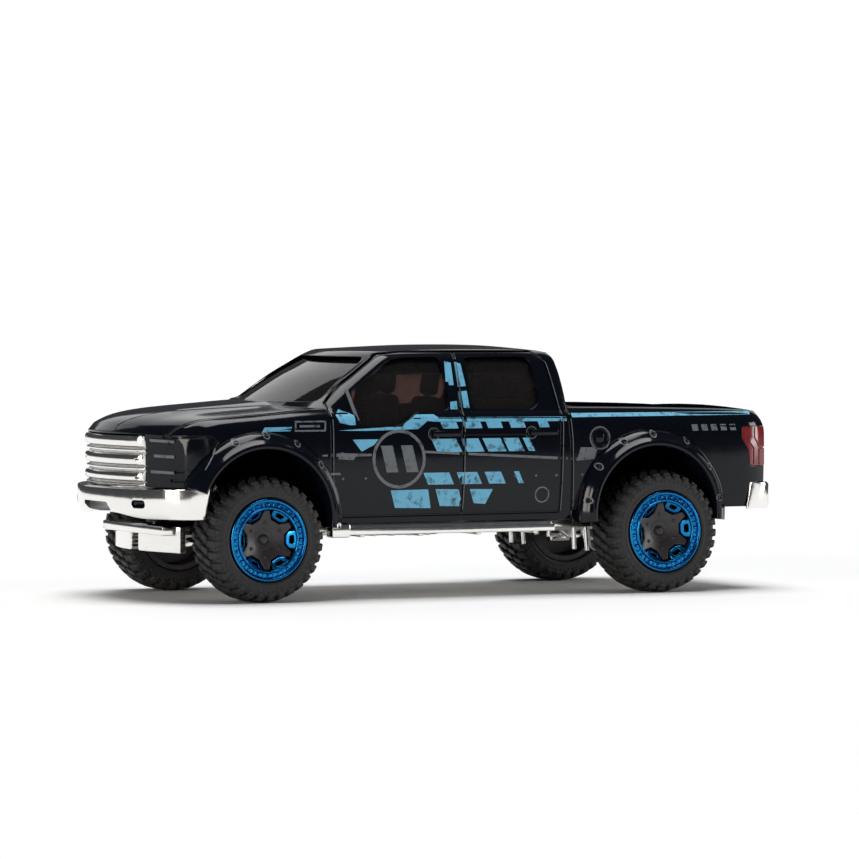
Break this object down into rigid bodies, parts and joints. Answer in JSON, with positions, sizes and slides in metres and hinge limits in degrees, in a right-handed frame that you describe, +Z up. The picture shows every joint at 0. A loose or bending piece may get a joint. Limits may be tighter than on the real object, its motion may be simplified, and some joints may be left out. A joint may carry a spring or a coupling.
{
  "type": "diecast toy pickup truck",
  "caption": "Toy-size crew-cab pickup truck: metal body casting over a plated base, with smoke windows, seats, and soft knobbly tyres on blue-ringed wheels that roll.",
  "frame": {"origin": "on the ground under the middle of the truck's length and width", "axes": "+Z up, the nose towards -Y, the truck's left side towards +X"},
  "size_m": [0.0304, 0.0772, 0.0271],
  "materials": {
    "black_enamel": "glossy black enamel with sky blue and grey printed marks",
    "silver_plating": "bright vacuum plating, slightly warm",
    "smoke_glazing": "brown-smoke clear plastic",
    "cabin_plastic": "black moulded plastic",
    "red_lens": "glossy dark red",
    "axle_steel": "bright drawn wire",
    "tyre_rubber": "matt black soft rubber",
    "hub_plastic": "black plastic, satin",
    "blue_plating": "blue vacuum plating"
  },
  "bodies": {
    "root": {"body_shell": "black_enamel", "chassis_base": "silver_plating", "grille": "silver_plating", "front_bumper": "silver_plating", "rear_bumper": "silver_plating", "window_glazing": "smoke_glazing", "cabin_interior": "cabin_plastic", "tail_lamp_left": "red_lens", "tail_lamp_right": "red_lens"},
    "front_axle": {"front_axle": "axle_steel"},
    "rear_axle": {"rear_axle": "axle_steel"},
    "wheel_front_left": {"tyre_front_left": "tyre_rubber", "hub_front_left": "hub_plastic", "rim_ring_front_left": "blue_plating"},
    "wheel_front_right": {"tyre_front_right": "tyre_rubber", "hub_front_right": "hub_plastic", "rim_ring_front_right": "blue_plating"},
    "wheel_rear_left": {"tyre_rear_left": "tyre_rubber", "hub_rear_left": "hub_plastic", "rim_ring_rear_left": "blue_plating"},
    "wheel_rear_right": {"tyre_rear_right": "tyre_rubber", "hub_rear_right": "hub_plastic", "rim_ring_rear_right": "blue_plating"}
  },
  "joints": [
    {"name": "front_axle_spin", "type": "hinge", "parent": "root", "child": "front_axle", "pos_m": [0, -0.02465, 0.00675], "axis": [1, 0, 0], "continuous": true},
    {"name": "rear_axle_spin", "type": "hinge", "parent": "root", "child": "rear_axle", "pos_m": [0, 0.02335, 0.00675], "axis": [1, 0, 0], "continuous": true},
    {"name": "wheel_front_left_spin", "type": "hinge", "parent": "front_axle", "child": "wheel_front_left", "pos_m": [0.0119, -0.02465, 0.00675], "axis": [1, 0, 0], "continuous": true},
    {"name": "wheel_front_right_spin", "type": "hinge", "parent": "front_axle", "child": "wheel_front_right", "pos_m": [-0.0119, -0.02465, 0.00675], "axis": [1, 0, 0], "continuous": true},
    {"name": "wheel_rear_left_spin", "type": "hinge", "parent": "rear_axle", "child": "wheel_rear_left", "pos_m": [0.0119, 0.02335, 0.00675], "axis": [1, 0, 0], "continuous": true},
    {"name": "wheel_rear_right_spin", "type": "hinge", "parent": "rear_axle", "child": "wheel_rear_right", "pos_m": [-0.0119, 0.02335, 0.00675], "axis": [1, 0, 0], "continuous": true}
  ]
}
